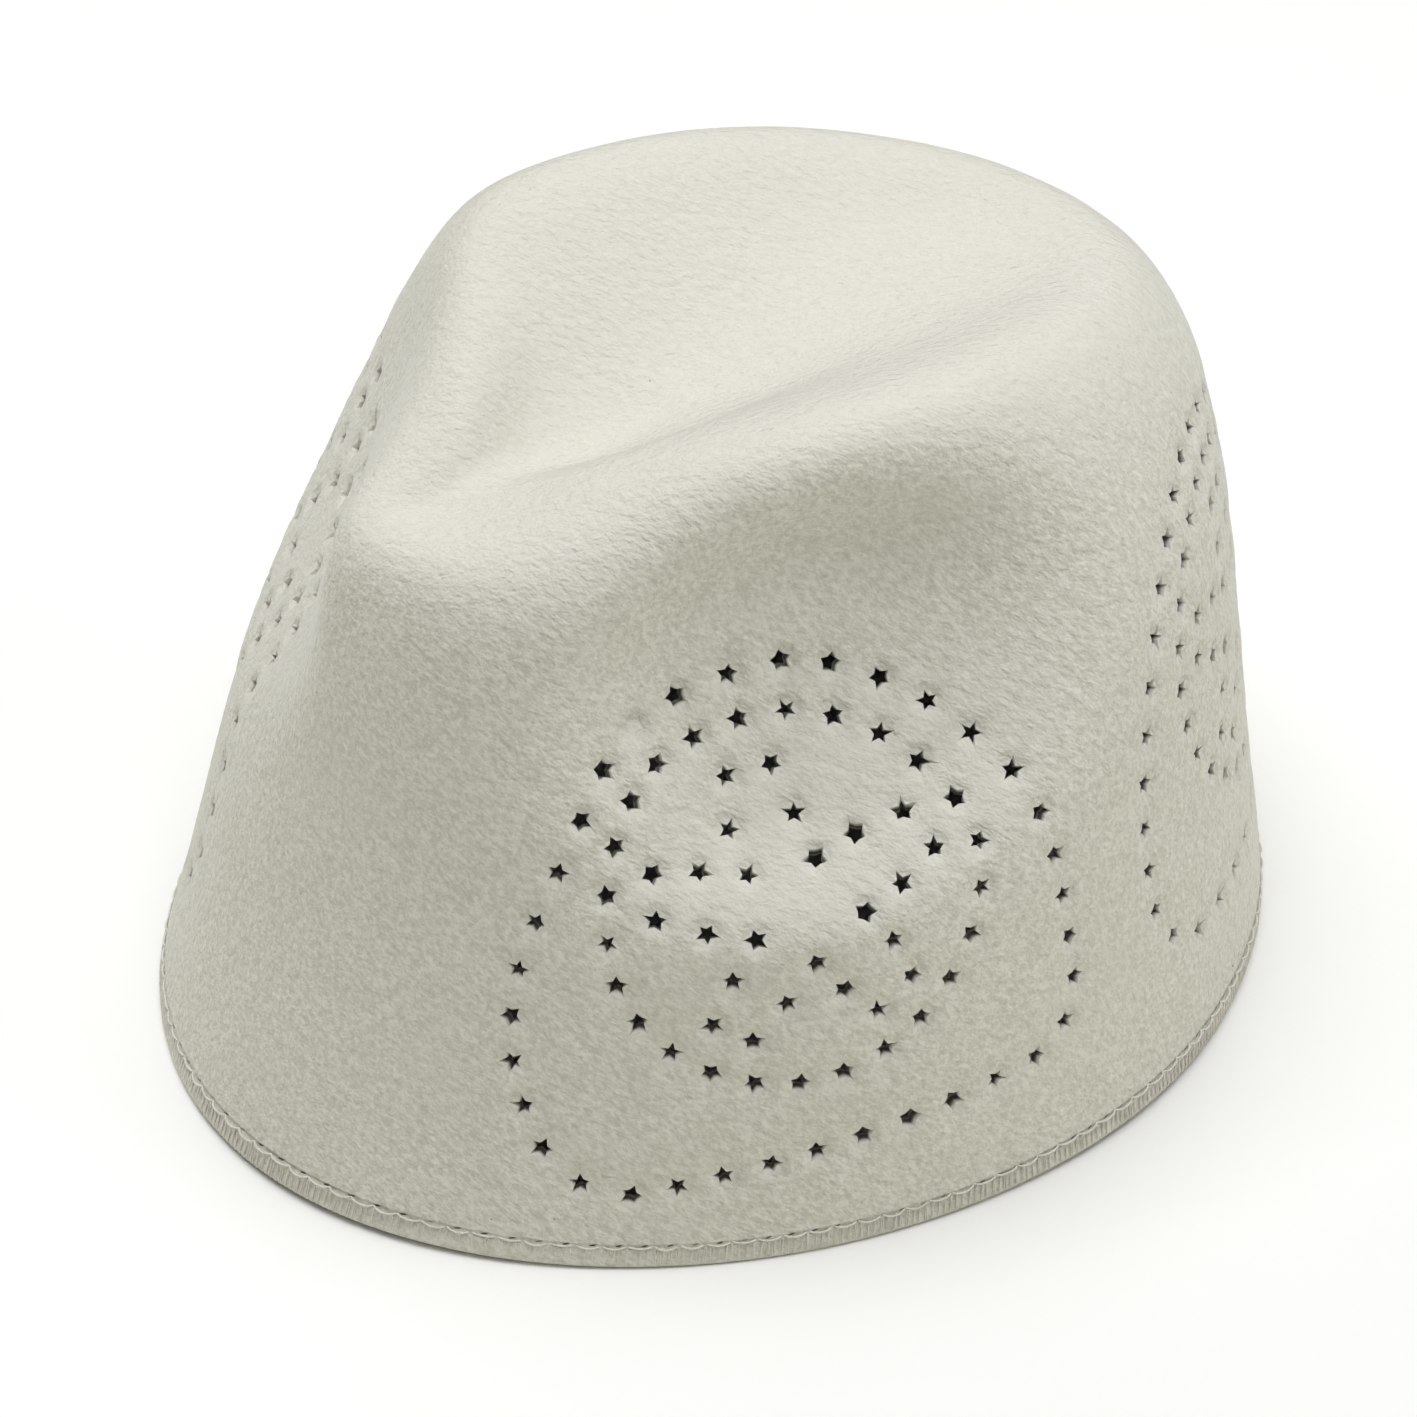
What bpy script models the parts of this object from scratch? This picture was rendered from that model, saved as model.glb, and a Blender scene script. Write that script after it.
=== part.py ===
"""Moulded wool felt kufi: a brimless cap with a pinched front and pierced star patterns.

Lengths in the tables are millimetres and the mesh is in metres, +Z up. The origin is the middle
of the bottom edge, the front of the cap points along -Y and the wearer's left is +X.
"""

from collections import namedtuple
from math import cos, pi, radians, sin
from random import Random

import bmesh
import bpy
import numpy as np
from mathutils import Matrix, Vector

MM = 0.001
SAME_PLACE = 0.001  # mesh corners closer than this are one corner
NORMAL_STEP = 0.01
MEASURE_STEPS = 200  # steps of the fine lines that distances are measured along

# Felt wall and cut edge
FELT_THICKNESS = 2.4
EDGE_WASTE = 0.12  # sections of felt below the bottom edge, trimmed away flat
TRIM_BLOCK = (260.0, 260.0, 30.0)

# Outer face, a row for each section from the bottom edge up to the crest of the crown. Each
# section is an oval of three reaches from the middle. Its height changes from the side towards
# the front and the back, and nose_taper narrows its front.
Section = namedtuple(
    "Section", "front side back front_height side_height back_height nose_taper"
)
SECTIONS = (
    Section(100.0, 86.5, 100.0, 0.0, 0.0, 0.0, 0.03),
    Section(89.0, 83.0, 96.0, 30.0, 30.0, 30.0, 0.05),
    Section(80.5, 79.5, 91.5, 60.0, 60.0, 61.0, 0.07),
    Section(75.5, 74.5, 88.5, 83.5, 86.0, 84.0, 0.05),
    Section(69.0, 65.0, 83.0, 104.5, 108.0, 106.0, 0.14),
    Section(57.0, 48.5, 71.5, 107.5, 125.5, 116.0, 0.18),
)

# Teardrop hollow inside the crest, a row for each smaller copy of the crest line on the way to
# its middle, with how far it drops below that line.
Hollow = namedtuple("Hollow", "scale side_scale front_drop side_drop back_drop")
HOLLOWS = (
    Hollow(0.80, 0.83, 1.2, 1.0, 1.5),
    Hollow(0.55, 0.80, 6.0, 5.0, 2.0),
    Hollow(0.28, 0.90, 9.0, 8.0, 5.0),
)
HOLLOW_MIDDLE_Y = -5.5
HOLLOW_MIDDLE_Z = 109.0

# Dents pressed into the two sides by thumb and fingers, and a swelling, whose depth is less than
# nothing. side is +1 on the wearer's left. edge is how sharply a dent ends.
Pinch = namedtuple("Pinch", "side y z half_length half_height depth tilt edge")
PINCHES = (
    Pinch(1, -21.4, 92.0, 36.5, 24.6, 26.0, 18.1, 1.53),
    Pinch(1, -32.8, 67.2, 17.7, 6.6, 7.6, 9.2, 0.9),
    Pinch(1, -26.9, 63.7, 24.6, 9.6, -3.0, 12.6, 1.72),
    Pinch(1, -10.9, 71.2, 13.0, 2.3, 3.0, 24.6, 0.71),
    Pinch(-1, -52.0, 93.5, 36.5, 22.5, 23.0, 51.5, 1.8),
)
PINCH_CENTRE_SOFTNESS = 26.0  # a pinch fades out within this distance of the middle plane
PINCH_FADE_START = 5.0  # the crest, counted in sections
PINCH_FADE_LENGTH = 3.0

# Mesh rows up the felt, counted in sections, where 9 is the middle of the hollow. Mesh columns
# round it, in degrees from the front, are finest where the dents and the whole pattern are.
Run = namedtuple("Run", "start end count")
ROWS = (
    Run(-EDGE_WASTE, 1.5, 4),
    Run(1.5, 4.2, 12),
    Run(4.2, 5.6, 5),
    Run(5.6, 9.0, 6),
)
COLUMNS = (
    Run(0.0, 110.0, 22),
    Run(110.0, 270.0, 16),
    Run(270.0, 360.0, 12),
)

# Pierced patterns, placed by distance round the cap from the front and up its wall.
PUNCH_RADIUS = 1.9
PUNCH_WAIST = 0.5  # inner radius of the star punch over its outer radius
PUNCH_REACH = 5.0
PUNCH_CORNERS = 10
PUNCH_SPIN = 2 * pi / 5  # each punch was turned by some part of this
PUNCH_SPIN_SEED = 35

# How far the moulding pulled a flat pattern. lean lifts a hole by that share of its way round,
# slant shifts it round and grow lifts it by that share of its way up. The others are measured at
# PULL_SPAN from the middle: side, fan, bow and crowd shift a hole round the cap, and sag, twist,
# stretch and droop lift it.
Pull = namedtuple("Pull", "lean slant grow side fan bow crowd sag twist stretch droop")
PULL_SPAN = 30.0
PULLED = Pull(0.198, -0.025, 0.03, -1.24, 4.35, 1.91, -1.3, -2.56, 1.41, 0.68, -1.18)
UNPULLED = Pull(*[0.0] * len(PULLED))
PULLED_BACK = UNPULLED._replace(slant=-0.146)

Medallion = namedtuple("Medallion", "name around height pull whole")
MEDALLIONS = (
    Medallion("left_front", 90.0, 62.9, PULLED, True),
    Medallion("left_back", 199.3, 66.2, PULLED_BACK, False),
    Medallion("right_front", -85.0, 60.0, UNPULLED, False),
    Medallion("right_back", -193.0, 62.0, UNPULLED, False),
)

# The round-headed frame of a pattern, the ring in it and the blunt five-armed star in the ring.
FRAME_HALF_WIDTH = 48.9
FRAME_LOW = -43.6
FRAME_SPRING = -31.0
FRAME_TOP = 37.4
FRAME_CORNER = 12.2
FRAME_HOLES = 35
RING_RADIUS = 30.5
RING_HOLES = 25
RING_START = 159.2
STAR_ARMS = 5
STAR_TURN = 122.5
StarHole = namedtuple("StarHole", "radius half_angle")
STAR_NOTCH = StarHole(9.4, 36.0)
STAR_ARM_SIDE = StarHole(16.0, 18.8)
STAR_ARM_TIP = StarHole(23.2, 9.2)

# Colour of the felt
FELT_COLOUR = (0.72, 0.70, 0.63, 1.0)
FELT_ROUGHNESS = 0.95


def clear_scene():
    """Removes every object that the file opened with."""
    for obj in list(bpy.data.objects):
        bpy.data.objects.remove(obj, do_unlink=True)


def new_collection(name):
    collection = bpy.data.collections.new(name)
    bpy.context.scene.collection.children.link(collection)
    return collection


def felt_material():
    material = bpy.data.materials.new("felt")
    material.use_nodes = True
    shader = material.node_tree.nodes["Principled BSDF"]
    shader.inputs["Base Color"].default_value = FELT_COLOUR
    shader.inputs["Roughness"].default_value = FELT_ROUGHNESS
    shader.inputs["Metallic"].default_value = 0.0
    material.diffuse_color = FELT_COLOUR
    return material


def front_to_back(cosine, front, side, back):
    """A value that is side at the sides and moves smoothly to front and back."""
    return side + (front - side if cosine > 0 else back - side) * cosine * cosine


def section_point(section, angle):
    """The point of one oval section at an angle from the front, towards the wearer's left."""
    cosine, sine = cos(angle), sin(angle)
    narrowing = section.nose_taper * cosine * cosine if cosine > 0 else 0.0
    reach = section.front if cosine > 0 else section.back
    height = front_to_back(
        cosine, section.front_height, section.side_height, section.back_height
    )
    return np.array((section.side * sine * (1 - narrowing), -reach * cosine, height))


def hollow_point(hollow, angle):
    """The point of one line of the crown's hollow, a smaller copy of the crest that drops."""
    crest_section = SECTIONS[-1]
    crest = section_point(crest_section, angle)
    mean_height = crest_section.side_height / 2 + (
        crest_section.front_height + crest_section.back_height
    ) / 4
    drop = front_to_back(cos(angle), hollow.front_drop, hollow.side_drop, hollow.back_drop)
    return np.array(
        (
            crest[0] * hollow.scale * hollow.side_scale,
            HOLLOW_MIDDLE_Y + (crest[1] - HOLLOW_MIDDLE_Y) * hollow.scale,
            mean_height + (crest[2] - mean_height) * hollow.scale - drop,
        )
    )


def guide_points(angle):
    """The points that the felt passes through at one angle, from the edge over the middle."""
    rising = [section_point(section, angle) for section in SECTIONS]
    falling = [hollow_point(hollow, angle) for hollow in HOLLOWS]
    middle = [np.array((0.0, HOLLOW_MIDDLE_Y, HOLLOW_MIDDLE_Z))]
    beyond = [hollow_point(hollow, angle + pi) for hollow in reversed(HOLLOWS[1:])]
    return np.array(rising + falling + middle + beyond)


def spline_bends(points):
    """The second differences of the natural cubic spline through evenly spaced points."""
    count = len(points)
    matrix = np.eye(count)
    change = np.zeros_like(points)
    for i in range(1, count - 1):
        matrix[i, i - 1 : i + 2] = 1, 4, 1
        change[i] = 6 * (points[i - 1] - 2 * points[i] + points[i + 1])
    return np.linalg.solve(matrix, change)


def spline_point(points, bends, level):
    """The point of the spline at a level, counted in guide points from the first."""
    i = min(max(int(level), 0), len(points) - 2)
    late = level - i
    early = 1 - late
    curve = (early**3 - early) * bends[i] + (late**3 - late) * bends[i + 1]
    return early * points[i] + late * points[i + 1] + curve / 6


def pinched(point, level):
    """The point after the two sides of the crown are pressed in."""
    fade = min(max((level - PINCH_FADE_START) / PINCH_FADE_LENGTH, 0.0), 1.0)
    strength = 1 - fade * fade * (3 - 2 * fade)
    x, y, z = point
    moved = x
    for pinch in PINCHES:
        turn = radians(pinch.tilt)
        along = ((y - pinch.y) * cos(turn) + (z - pinch.z) * sin(turn)) / pinch.half_length
        across = ((z - pinch.z) * cos(turn) - (y - pinch.y) * sin(turn)) / pinch.half_height
        press = pinch.depth * np.exp(-((along**2 + across**2) ** pinch.edge))
        outwards = max(pinch.side * x, 0.0)
        moved -= pinch.side * strength * press * np.tanh(outwards / PINCH_CENTRE_SOFTNESS)
    return np.array((moved, y, z))


class Meridian:
    """The outer face of the felt along one angle."""

    def __init__(self, angle):
        self.points = guide_points(angle)
        self.bends = spline_bends(self.points)

    def at(self, level):
        return pinched(spline_point(self.points, self.bends, level), level)


def felt_point(angle, level):
    return Meridian(angle).at(level)


def felt_normal(angle, level):
    """The unit direction that points out of the felt at one place of its wall."""
    step = NORMAL_STEP
    around = felt_point(angle + step, level) - felt_point(angle - step, level)
    upward = felt_point(angle, level + step) - felt_point(angle, level - step)
    normal = np.cross(around, upward)
    return normal / np.linalg.norm(normal)


def spread(runs):
    """The places of the mesh lines of a table of runs, from its first start to its last end."""
    places = [runs[0].start]
    for run in runs:
        places += list(np.linspace(run.start, run.end, run.count + 1)[1:])
    return places


def new_object(name, mesh_builder, collection):
    """An object at the origin whose mesh a function fills in millimetres."""
    mesh = bpy.data.meshes.new(name)
    builder = bmesh.new()
    mesh_builder(builder)
    bmesh.ops.scale(builder, vec=(MM, MM, MM), verts=builder.verts)
    builder.to_mesh(mesh)
    builder.free()
    obj = bpy.data.objects.new(name, mesh)
    collection.objects.link(obj)
    return obj


def fill_felt_sheet(builder):
    """One grid wrapped round the cap and up over its crown, closed at the seam and the middle."""
    levels = spread(ROWS)
    rows = len(levels) - 1
    meridians = [Meridian(radians(angle)) for angle in spread(COLUMNS)[:-1]]
    columns = len(meridians)
    bmesh.ops.create_grid(builder, x_segments=columns, y_segments=rows, size=0.5)
    for vertex in builder.verts:
        column = round((vertex.co.x + 0.5) * columns) % columns
        row = round((vertex.co.y + 0.5) * rows)
        vertex.co = Vector(meridians[column].at(levels[row]))
    bmesh.ops.remove_doubles(builder, verts=builder.verts, dist=SAME_PLACE)


def fill_trim_block(builder):
    """The block below the bottom edge that trims the felt flat."""
    centre = Matrix.Translation((0.0, 0.0, -TRIM_BLOCK[2] / 2))
    bmesh.ops.create_cube(builder, size=1.0, matrix=centre @ Matrix.Diagonal((*TRIM_BLOCK, 1.0)))


def frame_outline():
    """The frame of a pattern as a fine closed line, from its lower left corner up and round."""
    half, corner = FRAME_HALF_WIDTH, FRAME_CORNER
    rise = FRAME_TOP - FRAME_SPRING
    line = [(-half, FRAME_LOW + corner)]
    for turn in np.linspace(pi, 0.0, MEASURE_STEPS + 1):
        line.append((half * cos(turn), FRAME_SPRING + rise * sin(turn)))
    for centre_x, first in ((half - corner, 0.0), (corner - half, -pi / 2)):
        for turn in np.linspace(first, first - pi / 2, MEASURE_STEPS + 1):
            x = centre_x + corner * cos(turn)
            line.append((x, FRAME_LOW + corner + corner * sin(turn)))
    return np.array(line)


def frame_holes():
    """Holes spaced evenly along the frame."""
    line = frame_outline()
    run = np.concatenate(([0.0], np.cumsum(np.linalg.norm(np.diff(line, axis=0), axis=1))))
    spots = np.arange(FRAME_HOLES) * run[-1] / FRAME_HOLES
    return list(zip(np.interp(spots, run, line[:, 0]), np.interp(spots, run, line[:, 1])))


def polar(radius, degrees):
    return radius * cos(radians(degrees)), radius * sin(radians(degrees))


def ring_holes():
    return [polar(RING_RADIUS, RING_START - 360 * i / RING_HOLES) for i in range(RING_HOLES)]


def star_corners():
    """The notch between each two arms, and the middle of each arm's blunt tip."""
    holes = []
    for arm in range(STAR_ARMS):
        axis = STAR_TURN + STAR_NOTCH.half_angle - arm * 360 / STAR_ARMS
        holes.append(polar(STAR_NOTCH.radius, axis - STAR_NOTCH.half_angle))
        holes.append(polar(STAR_ARM_TIP.radius, axis))
    return holes


def star_holes():
    """The blunt star: a notch, two arm sides and two tip corners for each arm."""
    holes = []
    for arm in range(STAR_ARMS):
        axis = STAR_TURN + STAR_NOTCH.half_angle - arm * 360 / STAR_ARMS
        holes.append(polar(STAR_NOTCH.radius, axis - STAR_NOTCH.half_angle))
        for hole in (STAR_ARM_SIDE, STAR_ARM_TIP):
            holes.append(polar(hole.radius, axis - hole.half_angle))
            holes.append(polar(hole.radius, axis + hole.half_angle))
    return holes


def angle_at(around):
    """The angle from the front of a distance round the cap, measured at its third section."""
    girth = SECTIONS[2]
    angles = np.linspace(-pi, pi, 4 * MEASURE_STEPS + 1)
    line = np.array([section_point(girth, angle) for angle in angles])
    steps = np.linalg.norm(np.diff(line, axis=0), axis=1)
    run = np.concatenate(([0.0], np.cumsum(steps)))
    return float(np.interp(around, run - run[len(run) // 2], angles))


def level_at(angle, height):
    """The level whose distance up the pressed wall from the bottom edge is height."""
    meridian = Meridian(angle)
    levels = np.linspace(0.0, len(SECTIONS) - 1, MEASURE_STEPS + 1)
    line = np.array([meridian.at(level) for level in levels])
    run = np.concatenate(([0.0], np.cumsum(np.linalg.norm(np.diff(line, axis=0), axis=1))))
    return float(np.interp(height, run, levels))


def pulled(across, up, pull):
    """Where a hole of the flat pattern lies once the felt is moulded."""
    side, height = across / PULL_SPAN, up / PULL_SPAN
    corner = side**2 * height
    shift = pull.side * side**2 + pull.fan * side * height + pull.bow * height**2
    lift = pull.sag * side**2 + pull.twist * side * height + pull.stretch * height**2
    around = across + pull.slant * up + shift + pull.crowd * corner
    return around, up + pull.grow * up + pull.lean * across + lift + pull.droop * corner


def punch_places():
    """(angle, level) of each hole. One pattern is whole, and the others have their star corners."""
    places = []
    for medallion in MEDALLIONS:
        if medallion.whole:
            holes = frame_holes() + ring_holes() + star_holes()
        else:
            holes = star_corners()
        for hole in holes:
            across, up = pulled(*hole, medallion.pull)
            angle = angle_at(medallion.around + across)
            places.append((angle, level_at(angle, medallion.height + up)))
    return places


def add_star_punch(builder, angle, level, spin):
    """A star prism through the wall, square to it."""
    normal = Vector(felt_normal(angle, level))
    place = Matrix.Translation(Vector(felt_point(angle, level)))
    turn = normal.to_track_quat("Z", "Y").to_matrix().to_4x4()
    star = bmesh.ops.create_cone(
        builder,
        cap_ends=True,
        segments=PUNCH_CORNERS,
        radius1=PUNCH_RADIUS,
        radius2=PUNCH_RADIUS,
        depth=2 * PUNCH_REACH,
    )
    for vertex in star["verts"]:
        corner = round(np.arctan2(vertex.co.x, vertex.co.y) / (2 * pi / PUNCH_CORNERS))
        if corner % 2:
            vertex.co.x *= PUNCH_WAIST
            vertex.co.y *= PUNCH_WAIST
    matrix = place @ turn @ Matrix.Rotation(spin, 4, "Z")
    bmesh.ops.transform(builder, matrix=matrix, verts=star["verts"])


def fill_star_punches(builder):
    draw = Random(PUNCH_SPIN_SEED)
    for angle, level in punch_places():
        add_star_punch(builder, angle, level, draw.uniform(0.0, PUNCH_SPIN))


def cut(obj, cutter):
    modifier = obj.modifiers.new(cutter.name, "BOOLEAN")
    modifier.operation = "DIFFERENCE"
    modifier.solver = "EXACT"
    modifier.object = cutter
    cutter.hide_render = True
    cutter.display_type = "WIRE"


def build_felt_crown(parts, cutters):
    """The moulded shell: a sheet with its felt thickness inwards, trimmed flat and pierced."""
    crown = new_object("felt_crown", fill_felt_sheet, parts)
    crown.data.shade_smooth()
    crown.data.materials.append(felt_material())
    wall = crown.modifiers.new("felt_wall", "SOLIDIFY")
    wall.thickness = FELT_THICKNESS * MM
    wall.offset = -1.0
    wall.use_even_offset = True
    cut(crown, new_object("edge_trim", fill_trim_block, cutters))
    cut(crown, new_object("star_punches", fill_star_punches, cutters))
    return crown


def main():
    clear_scene()
    parts = new_collection("kufi")
    cutters = new_collection("cutters")
    build_felt_crown(parts, cutters)


main()
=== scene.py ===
"""The looks of a moulded wool felt kufi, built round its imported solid.

Tables are in millimetres and the finished meshes in metres, +Z up. The front of the cap points
along -Y and the wearer's left is +X. The felt is one moulded sheet, so its fine mesh follows the
same sections, hollow and dents as the solid that it stands for, with every hole cut through.
"""

import logging
from dataclasses import astuple, dataclass, field
from enum import Enum
from math import atan2, cos, pi, radians, sin
from random import Random

import bmesh
import bpy
import numpy as np
from mathutils import Matrix, Vector, noise
from mathutils.kdtree import KDTree


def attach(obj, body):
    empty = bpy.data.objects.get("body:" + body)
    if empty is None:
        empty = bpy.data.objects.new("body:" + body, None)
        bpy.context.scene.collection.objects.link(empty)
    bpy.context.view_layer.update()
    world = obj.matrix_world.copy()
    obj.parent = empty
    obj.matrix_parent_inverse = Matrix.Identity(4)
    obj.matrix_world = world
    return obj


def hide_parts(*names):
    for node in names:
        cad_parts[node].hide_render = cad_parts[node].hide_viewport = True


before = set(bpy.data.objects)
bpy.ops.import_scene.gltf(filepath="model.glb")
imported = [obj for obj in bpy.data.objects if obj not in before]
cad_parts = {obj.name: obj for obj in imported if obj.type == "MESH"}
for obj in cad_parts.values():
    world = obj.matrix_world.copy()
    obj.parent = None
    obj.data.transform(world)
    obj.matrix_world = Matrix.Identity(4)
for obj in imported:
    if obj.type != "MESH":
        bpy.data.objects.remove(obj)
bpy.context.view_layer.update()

LOG = logging.getLogger("kufi")
MM = 0.001
FELT_THICKNESS = 2.4
EDGE_STITCHES = 140
SAME_PLACE = 1e-6
Colour = tuple[float, float, float, float]
Array = np.ndarray
Piece = bpy.types.Object
Material = bpy.types.Material
Socket = bpy.types.NodeSocket
Tree = bpy.types.NodeTree
Pair = tuple[float, float]
Triple = tuple[float, float, float]


class Slot(Enum):
    """The material slots."""

    FELT = "felt"


class Hole(Enum):
    """How a punch left the felt."""

    OPEN = "open"
    TORN = "torn"
    PLUGGED = "plugged"


def run_along(line: Array) -> Array:
    """The distance along a line from its first point to each of its points."""
    steps = np.linalg.norm(np.diff(line, axis=0), axis=1)
    return np.concatenate(([0.0], np.cumsum(steps)))


def unit(vectors: Array) -> Array:
    """The same directions at a length of one."""
    return vectors / np.linalg.norm(vectors, axis=1)[:, None]


def angles_of(points: Array) -> Array:
    """The angles of points from the front of the cap towards the wearer's left, in radians."""
    return np.arctan2(points[:, 0], -points[:, 1])


def linked(name: str, data: bpy.types.ID) -> Piece:
    """A new object at the origin that shows a mesh, curve, light or camera."""
    obj = bpy.data.objects.new(name, data)
    bpy.context.scene.collection.objects.link(obj)
    return obj


def mesh_from(shape: bmesh.types.BMesh, name: str) -> bpy.types.Mesh:
    """A new mesh with what a working shape holds, which is then freed."""
    mesh = bpy.data.meshes.new(name)
    shape.to_mesh(mesh)
    shape.free()
    return mesh


def shown_mesh(obj: Piece) -> bpy.types.Mesh:
    """A new mesh of what an object shows, with its modifiers or its bevel."""
    graph = bpy.context.evaluated_depsgraph_get()
    return bpy.data.meshes.new_from_object(obj.evaluated_get(graph))


def dress(piece: Piece, finish: Material) -> None:
    """Gives a piece its finish and ties it to the cap's one body."""
    piece.data.materials.clear()
    piece.data.materials.append(finish)
    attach(piece, "root")


@dataclass(frozen=True)
class Section:
    """One oval section of the outer face: its reaches from the middle, heights and taper."""

    front: float
    side: float
    back: float
    front_height: float
    side_height: float
    back_height: float
    nose_taper: float


@dataclass(frozen=True)
class Hollow:
    """One line of the crown's hollow: a smaller copy of the crest line, and how far it drops."""

    scale: float
    side_scale: float
    front_drop: float
    side_drop: float
    back_drop: float


@dataclass(frozen=True)
class Pinch:
    """One dent, or a swelling where depth is below nothing. side is +1 on the wearer's left."""

    side: int
    y: float
    z: float
    half_length: float
    half_height: float
    depth: float
    tilt: float
    edge: float


@dataclass(frozen=True)
class Pull:
    """How far the moulding pulled a flat pattern, in part measured at a span from its middle."""

    lean: float = 0.0
    slant: float = 0.0
    grow: float = 0.0
    side: float = 0.0
    fan: float = 0.0
    bow: float = 0.0
    crowd: float = 0.0
    sag: float = 0.0
    twist: float = 0.0
    stretch: float = 0.0
    droop: float = 0.0
    span: float = 30.0

    def moved(self, across: float, up: float) -> Pair:
        """Moves a hole of the flat pattern to where it lies once the felt is moulded.

        Args:
            across: distance of the hole from the pattern's middle, round the cap.
            up: distance of the hole from the pattern's middle, up the wall.

        Returns:
            The same two distances on the moulded felt.
        """
        side, height = across / self.span, up / self.span
        corner = side**2 * height
        shift = self.side * side**2 + self.fan * side * height + self.bow * height**2
        lift = self.sag * side**2 + self.twist * side * height + self.stretch * height**2
        around = across + self.slant * up + shift + self.crowd * corner
        return around, up + self.grow * up + self.lean * across + lift + self.droop * corner


@dataclass
class CrownForm:
    """The outer face of the felt: splines through oval sections, then the pressed dents."""

    sections: tuple[Section, ...] = (
        Section(100.0, 86.5, 100.0, 0.0, 0.0, 0.0, 0.03),
        Section(89.0, 83.0, 96.0, 30.0, 30.0, 30.0, 0.05),
        Section(80.5, 79.5, 91.5, 60.0, 60.0, 61.0, 0.07),
        Section(75.5, 74.5, 88.5, 83.5, 86.0, 84.0, 0.05),
        Section(69.0, 65.0, 83.0, 104.5, 108.0, 106.0, 0.14),
        Section(57.0, 48.5, 71.5, 107.5, 125.5, 116.0, 0.18),
    )
    hollows: tuple[Hollow, ...] = (
        Hollow(0.80, 0.83, 1.2, 1.0, 1.5),
        Hollow(0.55, 0.80, 6.0, 5.0, 2.0),
        Hollow(0.28, 0.90, 9.0, 8.0, 5.0),
    )
    middle_y: float = -5.5
    middle_z: float = 109.0
    pinches: tuple[Pinch, ...] = (
        Pinch(1, -21.4, 92.0, 36.5, 24.6, 26.0, 18.1, 1.53),
        Pinch(1, -32.8, 67.2, 17.7, 6.6, 7.6, 9.2, 0.9),
        Pinch(1, -26.9, 63.7, 24.6, 9.6, -3.0, 12.6, 1.72),
        Pinch(1, -10.9, 71.2, 13.0, 2.3, 3.0, 24.6, 0.71),
        Pinch(-1, -52.0, 93.5, 36.5, 22.5, 23.0, 51.5, 1.8),
    )
    centre_softness: float = 26.0
    fade_start: float = 5.0
    fade_length: float = 3.0
    girth_section: int = 2
    normal_step: float = 0.01
    round_steps: int = 1440
    wall_steps: int = 200

    def section_points(self, section: Section, angles: Array) -> Array:
        """Points of one oval section.

        Args:
            section: the section.
            angles: angles from the front towards the wearer's left, in radians.

        Returns:
            An array with a row of x, y and z for each angle.
        """
        cosine, sine = np.cos(angles), np.sin(angles)
        ahead = cosine > 0
        narrowing = section.nose_taper * np.where(ahead, cosine**2, 0.0)
        reach = np.where(ahead, section.front, section.back)
        end = np.where(ahead, section.front_height, section.back_height)
        height = section.side_height + (end - section.side_height) * cosine**2
        return np.stack([section.side * sine * (1 - narrowing), -reach * cosine, height], 1)

    def hollow_points(self, hollow: Hollow, angles: Array) -> Array:
        """Points of one line of the hollow, a row of x, y and z for each angle."""
        crest_section = self.sections[-1]
        crest = self.section_points(crest_section, angles)
        ends = (crest_section.front_height + crest_section.back_height) / 4
        mean_height = crest_section.side_height / 2 + ends
        end_drop = np.where(np.cos(angles) > 0, hollow.front_drop, hollow.back_drop)
        drop = hollow.side_drop + (end_drop - hollow.side_drop) * np.cos(angles) ** 2
        return np.stack(
            [
                crest[:, 0] * hollow.scale * hollow.side_scale,
                self.middle_y + (crest[:, 1] - self.middle_y) * hollow.scale,
                mean_height + (crest[:, 2] - mean_height) * hollow.scale - drop,
            ],
            1,
        )

    def guide_points(self, angles: Array) -> Array:
        """The points that the felt passes through at each angle, up and over."""
        rising = [self.section_points(section, angles) for section in self.sections]
        falling = [self.hollow_points(hollow, angles) for hollow in self.hollows]
        middle = [np.tile([0.0, self.middle_y, self.middle_z], (len(angles), 1))]
        opposite = [self.hollow_points(h, angles + pi) for h in reversed(self.hollows[1:])]
        return np.stack(rising + falling + middle + opposite, 1)

    def spline_weights(self, levels: Array) -> Array:
        """How much each guide point counts at each level of the natural cubic spline.

        Args:
            levels: places along the spline, counted in guide points from the first.

        Returns:
            An array with a row for each level and a column for each guide point.
        """
        count = len(self.sections) + 2 * len(self.hollows)
        system, change = np.eye(count), np.zeros((count, count))
        for i in range(1, count - 1):
            system[i, i - 1 : i + 2] = 1, 4, 1
            change[i, i - 1 : i + 2] = 6, -12, 6
        bends = np.linalg.solve(system, change)
        i = np.clip(levels.astype(int), 0, count - 2)
        late = (levels - i)[:, None]
        early = 1 - late
        ends = early * np.eye(count)[i] + late * np.eye(count)[i + 1]
        return ends + ((early**3 - early) * bends[i] + (late**3 - late) * bends[i + 1]) / 6

    def pressed(self, points: Array, levels: Array) -> Array:
        """The points after the two sides of the crown are pressed in."""
        fade = np.clip((levels - self.fade_start) / self.fade_length, 0.0, 1.0)
        strength = 1 - fade * fade * (3 - 2 * fade)
        x, y, z = points.T
        moved = x.copy()
        for pinch in self.pinches:
            turn = radians(pinch.tilt)
            along = ((y - pinch.y) * cos(turn) + (z - pinch.z) * sin(turn)) / pinch.half_length
            across = ((z - pinch.z) * cos(turn) - (y - pinch.y) * sin(turn)) / pinch.half_height
            press = pinch.depth * np.exp(-((along**2 + across**2) ** pinch.edge))
            outwards = np.maximum(pinch.side * x, 0.0)
            moved -= pinch.side * strength * press * np.tanh(outwards / self.centre_softness)
        return np.stack([moved, y, z], 1)

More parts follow.
